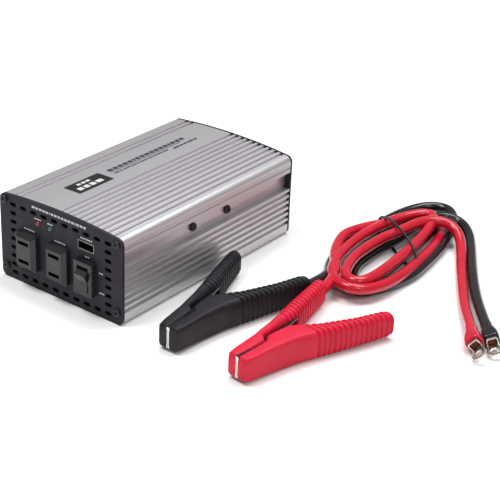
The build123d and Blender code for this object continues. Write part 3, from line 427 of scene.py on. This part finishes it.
# A hank's quarter turns, clockwise from above, from its left side: how far the strand lies from the
# hank's middle at the left, top, right and bottom in turn, its height above the floor there, and how
# sharply it bends on the way to the next.
black_turns = [(32.0, 3.7, 0.9), (88.0, 8.0, 0.9), (22.5, 3.6, 1.2), (48.5, 3.6, 0.85), (33.5, 3.6, 1.3),
               (77.0, 3.6, 1.0), (6.0, 3.6, 0.8), (39.0, 3.6, 0.85), (14.5, 3.6, 1.0)]
red_turns = [(36.5, 10.4, 1.45), (72.0, 3.7, 0.9), (19.5, 6.5, 0.85), (58.5, 10.2, 0.85), (26.0, 10.4, 1.2),
             (62.0, 13.4, 0.9), (11.0, 12.0, 0.7), (51.5, 11.6, 0.85), (14.5, 12.2, 1.0)]
black_start = [(113.6, 16.7, 9.5), (114.6, 31.0, 8.8), (110.0, 45.5, 5.6), (102.5, 58.0, 3.9),
               (97.5, 72.0, 3.7)]
red_start = [(123.6, 19.1, 9.5), (122.0, 32.0, 9.8), (115.5, 46.5, 10.2), (106.5, 58.0, 10.4),
             (98.0, 71.0, 10.4)]
black_end = [(114.0, 104.0, 3.8), (116.5, 120.0, 5.0), (116.5, 138.0, 7.0), (117.5, 152.0, 8.4),
             (122.5, 163.5, 8.4), (130.0, 168.5, 7.4), (139.0, 167.5, 6.0), (147.8, 160.3, 4.8),
             (155.5, 150.0, 3.7), (171.8, 122.8, 3.6), (187.0, 98.6, 3.6), (203.0, 76.0, 3.9),
             (220.2, 54.6, 5.8)]
red_end = [(116.0, 98.0, 13.0), (119.0, 108.0, 13.8), (121.5, 118.0, 14.5), (123.5, 130.0, 15.0),
           (127.5, 140.0, 15.0), (134.5, 146.0, 14.4), (143.0, 147.0, 12.5), (150.5, 142.5, 9.5),
           (158.0, 132.8, 6.0), (169.3, 112.8, 3.6), (182.6, 91.6, 3.6), (195.3, 71.6, 3.6),
           (206.1, 56.8, 4.8), (215.9, 43.1, 7.2)]


def hank(turns):
    """The turns of a loosely wound hank, with four times points_per_quarter points in each turn."""
    points = []
    pairs = zip(turns, turns[1:])
    for quarter, ((reach, height, bend), (next_reach, next_height, _)) in enumerate(pairs):
        for step in range(points_per_quarter):
            angle = pi / 2 * step / points_per_quarter
            first, second = reach * cos(angle) ** bend, next_reach * sin(angle) ** bend
            corners = ((-first, second), (second, first), (first, -second), (-second, -first))
            across, along = corners[quarter % 4]
            points.append((hank_middle_x + across - hank_lean * along, hank_middle_y + along,
                           height + (next_height - height) * sin(angle) ** 2))
    return points


def cable(colour, route):
    """A round cable along a smooth curve through its route."""
    curve = bpy.data.curves.new(f"{colour}_cable", "CURVE")
    curve.dimensions = "3D"
    curve.bevel_depth = cable_radius * MM
    curve.bevel_resolution = 6
    curve.resolution_u = 8
    curve.use_fill_caps = True
    spline = curve.splines.new("NURBS")
    spline.points.add(len(route) - 1)
    for point, place in zip(spline.points, route):
        point.co = (*(Vector(place) * MM), 1)
    spline.order_u = 3
    spline.use_endpoint_u = True
    spline.use_smooth = True
    thing = bpy.data.objects.new(f"{colour}_cable", curve)
    bpy.context.scene.collection.objects.link(thing)
    curve.materials.append(materials[f"{colour}_cable"])
    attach(thing, "inverter")
    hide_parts(*[f"{colour}_cable_{part}" for part in ("clamp_end", "coil", "free_end")])


# ---- lugs --------------------------------------------------------------------------------------
tongue_thickness, tongue_low, tongue_half = 1.2, -3.1, 2.6
ring_x, ring_radius, bore_radius, ring_points = 26.0, 5.0, 2.65, 40
tongue_start, ring_meets_tongue = 19.0, 2.5     # along the lug, and behind the ring's middle


def lug_matrix(end, turn):
    """From a lug's own axes, along, across and up, to the model's."""
    heading, roll = turn
    return (Matrix.Translation(Vector(end) * MM) @ Matrix.Rotation(radians(heading), 4, "Z")
            @ Matrix.Rotation(radians(roll), 4, "X"))


def dented_ring(x, half_a, half_b, corner, dent):
    """A barrel section whose upper wall is pushed in along its middle."""
    ring = []
    for a, b in rounded_ring(half_a, half_b, corner, 6):
        push = dent * max(0.0, b / half_b) * max(0.0, 1 - (a / (0.62 * half_a)) ** 2)
        ring.append((x, a, b - push))
    return ring


def lug(colour, end):
    """Crimp barrel with its dented mouth, copper strands and a ring tongue."""
    matrix = lug_matrix(end, lug_turns[colour])
    outer = [dented_ring(x, 3.6, 3.1, 1.4, dent) for x, dent in
             ((9.0, 0.0), (13.0, 0.1), (17.0, 0.9), (19.4, 1.5), (20.0, 1.55))]
    inner = [dented_ring(x, 2.9, 2.4, 1.1, dent) for x, dent in
             ((20.0, 1.5), (18.5, 1.3), (14.0, 0.6), (10.0, 0.0))]
    barrel = piece(f"{colour}_lug_barrel", *loft(outer + inner), "crimp")
    shade(barrel)
    outline, bore = [], []
    for k in range(ring_points):
        angle = 2 * pi * k / ring_points
        x, y = ring_x + ring_radius * cos(angle), ring_radius * sin(angle)
        if x < ring_x - ring_meets_tongue:
            x, y = tongue_start, tongue_half * (1 if angle < pi else -1)
        outline.append((x, y))
        bore.append((ring_x + bore_radius * cos(angle), bore_radius * sin(angle)))
    low, high = tongue_low, tongue_low + tongue_thickness
    rings = [[(x, y, z) for x, y in edge] for edge, z in
             ((bore, low), (outline, low), (outline, high), (bore, high), (bore, low))]
    tongue = piece(f"{colour}_lug_tongue", *loft(rings, False, False), "crimp")
    face_outward(tongue.data, weld=True)
    bevelled(tongue, 0.25, 2)
    shade(tongue)
    wires = strands(f"{colour}_lug_strands")
    for thing in (barrel, tongue, wires):
        thing.data.transform(matrix)
    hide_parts(f"{colour}_lug")
    return [barrel, tongue, wires]


def strands(name):
    """The ends of the copper strands that fill the barrel."""
    vertices, faces = [], []
    for row in range(6):
        for column in range(8):
            y = -2.45 + 0.7 * column + (0.35 if row % 2 else 0)
            z = -2.0 + 0.62 * row
            if abs(y) > 2.5 or z > 1.9 - 1.3 * max(0.0, 1 - (y / 2.2) ** 2):
                continue
            reach = 17.2 + 0.9 * sin(3.1 * row + 5.3 * column)
            rings = []
            for x, r in ((12.0, 0.34), (reach, 0.34), (reach + 0.15, 0.2)):
                rings.append([(x, y + r * cos(k * pi / 4), z + r * sin(k * pi / 4)) for k in range(8)])
            more, skin = loft(rings)
            faces += [tuple(i + len(vertices) for i in face) for face in skin]
            vertices += more
    return piece(name, vertices, faces, "strands")


def sleeve(colour, end):
    """The coloured sleeve that flares from the cable over the barrel."""
    rings = []
    for x, half_a, half_b, corner in ((0.0, 3.6, 3.6, 3.5), (0.0, 3.85, 3.85, 3.8), (2.5, 3.9, 3.9, 3.7),
                                      (6.0, 4.1, 3.9, 3.2), (9.5, 4.75, 4.3, 2.6), (13.0, 4.95, 4.5, 2.3),
                                      (16.5, 4.9, 4.5, 2.2), (17.6, 4.8, 4.4, 2.2), (17.9, 4.5, 4.1, 2.0),
                                      (17.6, 3.75, 3.25, 1.5), (11.0, 3.7, 3.2, 1.5)):
        dent = 0.7 * max(0.0, (x - 11) / 7)
        rings.append([(x, a, b - dent * max(0.0, b / half_b) * max(0.0, 1 - (a / 2.6) ** 2))
                      for a, b in rounded_ring(half_a, half_b, corner)])
    thing = piece(f"{colour}_lug_cover", *loft(rings, False, False), f"{colour}_cable")
    thing.data.transform(lug_matrix(end, lug_turns[colour]))
    shade(thing, 50)
    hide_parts(f"{colour}_lug_sleeve")
    return thing


routes = {"black": black_start + hank(black_turns) + black_end, "red": red_start + hank(red_turns) + red_end}

# ---- tie ---------------------------------------------------------------------------------------
tie_radius, tie_sides, tie_steps = 0.9, 10, 6
tie_lean = Vector((0.55, 0.83, 0.05))       # about square to the loop, so its sections don't twist
tie_loop = [(95.0, 129.5, 2.0), (93.0, 131.0, 7.0), (98.0, 126.5, 13.5), (110.5, 117.0, 18.6),
            (123.0, 108.0, 19.6), (134.0, 101.5, 18.4), (142.0, 97.5, 14.0), (147.0, 93.5, 8.0),
            (148.0, 90.5, 3.0), (144.0, 93.5, 0.95), (122.0, 108.5, 0.95), (101.0, 124.5, 0.95)]


def tie():
    """A coated wire bound once round both sides of the hank."""
    count = len(tie_loop)
    rings = []
    for k in range(count * tie_steps):
        share, i = (k % tie_steps) / tie_steps, k // tie_steps
        a, b, c = (Vector(tie_loop[(i + step) % count]) for step in range(3))
        first, last = (a + b) / 2, (b + c) / 2
        place = (1 - share) ** 2 * first + 2 * share * (1 - share) * b + share**2 * last
        along = ((1 - share) * (b - first) + share * (last - b)).normalized()
        across = along.cross(tie_lean).normalized()
        third = along.cross(across)
        angles = [2 * pi * j / tie_sides for j in range(tie_sides)]
        rings.append([place + tie_radius * (cos(angle) * across + sin(angle) * third) for angle in angles])
    rings.append(rings[0])
    thing = piece("tie_wire", *loft(rings, False, False), "tie_black")
    face_outward(thing.data, weld=True)
    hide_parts("lead_tie")


tie()

# ---- printed marks -----------------------------------------------------------------------------
print_thickness, label_thickness = 0.05, 0.13
gap_between_words = 0.35
long_word = (1,) * 7


def dashes(name, places, place_of, material="print"):
    """Small flat printed bars; place_of turns (across, up, proud) into model coordinates."""
    vertices, faces = [], []
    for (a0, a1), (b0, b1) in places:
        for proud in (0.0, print_thickness):
            for a, b in ((a0, b0), (a1, b0), (a1, b1), (a0, b1)):
                vertices.append(place_of(a, b, proud))
        k = len(vertices) - 8
        faces += [(k, k + 1, k + 2, k + 3), (k + 7, k + 6, k + 5, k + 4)]
        faces += [(k + i, k + (i + 1) % 4, k + 4 + (i + 1) % 4, k + 4 + i) for i in range(4)]
    piece(name, vertices, faces, material, smooth=False)


def on_panel(x, z, proud):
    """A place on the front panel."""
    return x, front_face - proud, z


def on_top(x, y, proud):
    """A place on the case's domed top."""
    dome = case_height - dome_radius + (dome_radius**2 - x * x) ** 0.5
    return x, y, dome + label_thickness + proud


def text_row(x0, x1, z, height, words):
    """A row of bars of uneven length that stands for a printed word or two."""
    total = sum(words) + gap_between_words * (len(words) - 1)
    unit = (x1 - x0) / total
    places, x = [], x0
    for width in words:
        places.append(((x, x + width * unit), (z - height / 2, z + height / 2)))
        x += (width + gap_between_words) * unit
    return places


panel_marks = text_row(-21.0, -15.5, 48.9, 0.8, (2, 3, 2)) + text_row(-10.0, -5.5, 48.9, 0.8, (3, 2))
for x in (-26.0, 0.0):
    panel_marks += text_row(x - 4.2, x + 4.6, 39.3, 0.9, (1, 1, 2, 1, 1))
panel_marks += text_row(17.5, 27.0, 48.9, 0.9, (1, 1, 1, 2, 1)) + text_row(21.0, 24.5, 37.3, 0.8, (1, 1))
panel_marks += text_row(32.4, 35.4, 30.0, 0.9, (1, 1)) + text_row(32.4, 36.4, 16.6, 0.9, (1, 1, 1))
panel_marks += text_row(-23.0, 22.0, 56.1, 1.5, (1.3, 1, 1, 1, 1, 0.4, *long_word, 0.4, 1, 1, 1))
dashes("panel_print", panel_marks, on_panel)


def turned(places):
    """The same marks read along the case instead of across it."""
    return [((b0, b1), (a0, a1)) for (a0, a1), (b0, b1) in places]


label_marks = text_row(-49.0, -38.0, -18.6, 2.4, (1, 1, 1))
label_marks += text_row(-53.5, -32.0, -13.0, 3.8, (1, 1, 1, 1.3))
dashes("label_print", turned(label_marks), on_top)
case_marks = text_row(-20.0, 54.0, -19.2, 3.2, (1.2, 1, 1, 1, 1, 0.5, *long_word, 0.5, 1, 1, 1))
case_marks += text_row(-20.0, 32.0, -13.6, 1.0, (2, 1, 3, 2, 1, 3, 2, 4, 2))
case_marks += text_row(-20.0, 48.0, -16.2, 0.35, (1,))
case_marks += text_row(36.0, 60.0, -12.2, 1.6, (2, 1, 1, 2, 1))
dashes("case_print", turned(case_marks), on_top, "dark_print")

# ---- floor, lights and camera ------------------------------------------------------------------
scene = bpy.context.scene
scene.view_settings.view_transform = "Standard"
floor_half = 3.0
sky_strength = 0.36


def floor():
    """A plain pale floor."""
    mesh = bpy.data.meshes.new("floor")
    corners = [(a * floor_half, b * floor_half, 0) for a, b in ((-1, -1), (1, -1), (1, 1), (-1, 1))]
    mesh.from_pydata(corners, [], [(0, 1, 2, 3)])
    thing = bpy.data.objects.new("floor", mesh)
    scene.collection.objects.link(thing)
    n = Nodes("floor")
    n.link(n.ramp(n.noise(3.0), (0.9, 0.9, 0.9), (0.92, 0.92, 0.92)), n.shader, "Base Color")
    n.set(Roughness=0.9)
    mesh.materials.append(n.material)


def soft_light(name, place, aim, size, power):
    """A rectangular soft box that faces a point."""
    light = bpy.data.lights.new(name, "AREA")
    light.shape = "RECTANGLE"
    light.size, light.size_y = size
    light.energy = power
    thing = bpy.data.objects.new(name, light)
    scene.collection.objects.link(thing)
    thing.location = place
    thing.rotation_euler = (Vector(aim) - Vector(place)).to_track_quat("-Z", "Y").to_euler()


floor()
world = bpy.data.worlds.new("studio")
world.use_nodes = True
world.node_tree.nodes["Background"].inputs["Color"].default_value = (1, 1, 1, 1)
world.node_tree.nodes["Background"].inputs["Strength"].default_value = sky_strength
scene.world = world
soft_light("key", (-0.3, -0.35, 1.2), (0.05, 0, 0), (0.45, 0.45), 9.5)
soft_light("fill", (0.9, -0.4, 0.9), (0.1, 0, 0), (0.35, 0.35), 2.6)
soft_light("top", (0.1, 0.4, 1.2), (0.05, 0, 0), (0.9, 0.6), 12.0)


def camera():
    """The camera, from its heading, tilt, roll, focal length and place."""
    heading, tilt, roll = 0.6362, 0.4747, 0.0443
    away, left, down, unit = 14.4985, 1.9438, 0.5075, 0.060
    back = Vector((sin(heading) * cos(tilt), -cos(heading) * cos(tilt), sin(tilt)))
    right = Vector((cos(heading), sin(heading), 0))
    up = back.cross(right)
    x_axis = cos(roll) * right + sin(roll) * up
    y_axis = -sin(roll) * right + cos(roll) * up
    place = (x_axis * left + y_axis * down + back * away) * unit + Vector((0, front_face * MM, 0))
    data = bpy.data.cameras.new("camera")
    data.lens, data.sensor_width = 101.5, 36.0
    thing = bpy.data.objects.new("camera", data)
    scene.collection.objects.link(thing)
    rotation = Matrix((x_axis, y_axis, back)).transposed().to_4x4()
    thing.matrix_world = Matrix.Translation(place) @ rotation
    scene.camera = thing


camera()

for colour, route in routes.items():
    end = route[-1]
    on_cable = lug(colour, end) + [sleeve(colour, end)]
    cable(colour, route)
